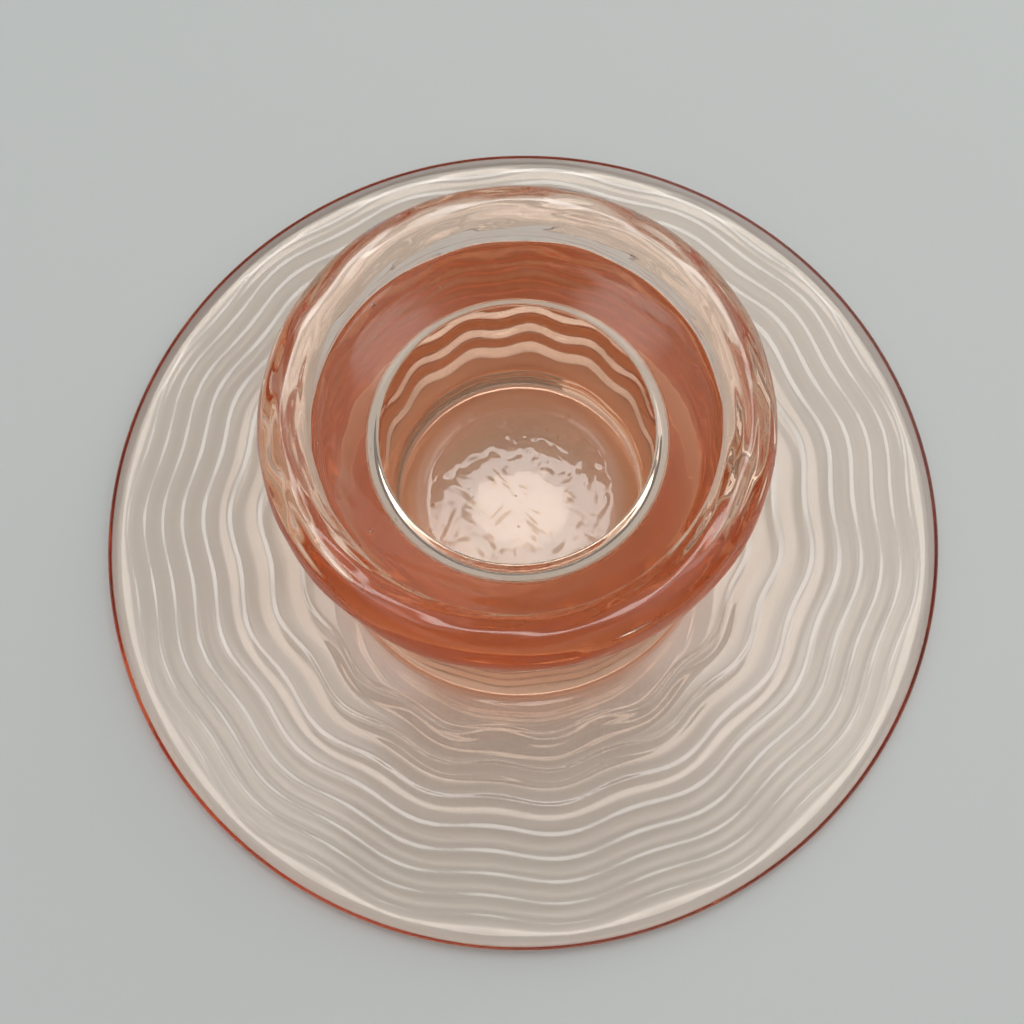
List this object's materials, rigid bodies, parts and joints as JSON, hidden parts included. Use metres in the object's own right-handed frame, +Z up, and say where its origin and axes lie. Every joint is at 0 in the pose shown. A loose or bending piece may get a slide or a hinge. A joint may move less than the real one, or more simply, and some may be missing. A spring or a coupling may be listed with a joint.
{
  "type": "glass candlestick",
  "caption": "Low pressed-glass candlestick with a wide foot ringed in waves, a thick cup for a taper candle and a dished drip collar.",
  "frame": {"origin": "centre of the foot, on the surface that the candlestick stands on", "axes": "+Z up along the socket's axis; the form is round about Z"},
  "size_m": [0.09, 0.09, 0.0318],
  "materials": {
    "pink_glass": "clear pressed glass, polished, deeper orange where thick"
  },
  "bodies": {
    "root": {"foot_rim": "pink_glass", "foot_plate": "pink_glass", "candle_cup": "pink_glass", "socket_floor": "pink_glass", "drip_collar": "pink_glass", "collar_rim": "pink_glass"}
  },
  "joints": []
}
